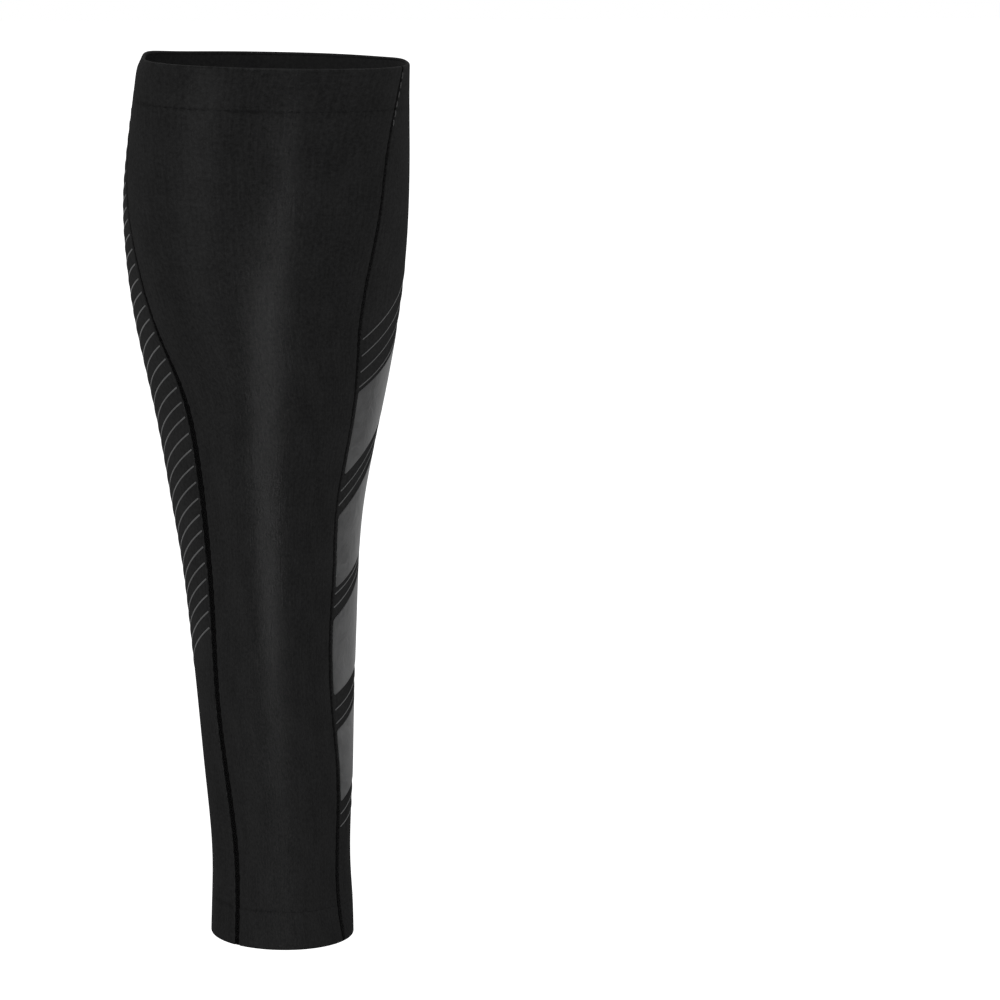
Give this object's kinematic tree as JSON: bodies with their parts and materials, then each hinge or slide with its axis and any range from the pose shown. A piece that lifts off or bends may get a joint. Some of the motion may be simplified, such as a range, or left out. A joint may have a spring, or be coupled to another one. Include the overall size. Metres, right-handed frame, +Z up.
{
  "type": "calf compression sleeve",
  "caption": "Knitted calf sleeve with flat side seams, turned-in hems and bonded grey films across one side, open at the knee and ankle ends.",
  "frame": {"origin": "on the sleeve's middle line at the calf's widest level, where the calf fills it", "axes": "+Z up the leg towards the knee, -Y forwards from the shin, +X towards the side with the films"},
  "size_m": [0.1167, 0.1184, 0.3618],
  "materials": {
    "knit": "matte black warp knit with a faint sheen and fine upright ribs",
    "seam_thread": "matte black overstitched flat seam",
    "hem_knit": "matte black turned-in knit",
    "grey_film": "satin grey bonded film"
  },
  "bodies": {
    "root": {"front_panel": "knit", "back_panel": "knit", "left_seam": "seam_thread", "right_seam": "seam_thread", "top_hem": "hem_knit", "bottom_hem": "hem_knit", "film_patch_1": "grey_film", "film_patch_2": "grey_film", "film_patch_3": "grey_film", "film_patch_4": "grey_film"}
  },
  "joints": []
}
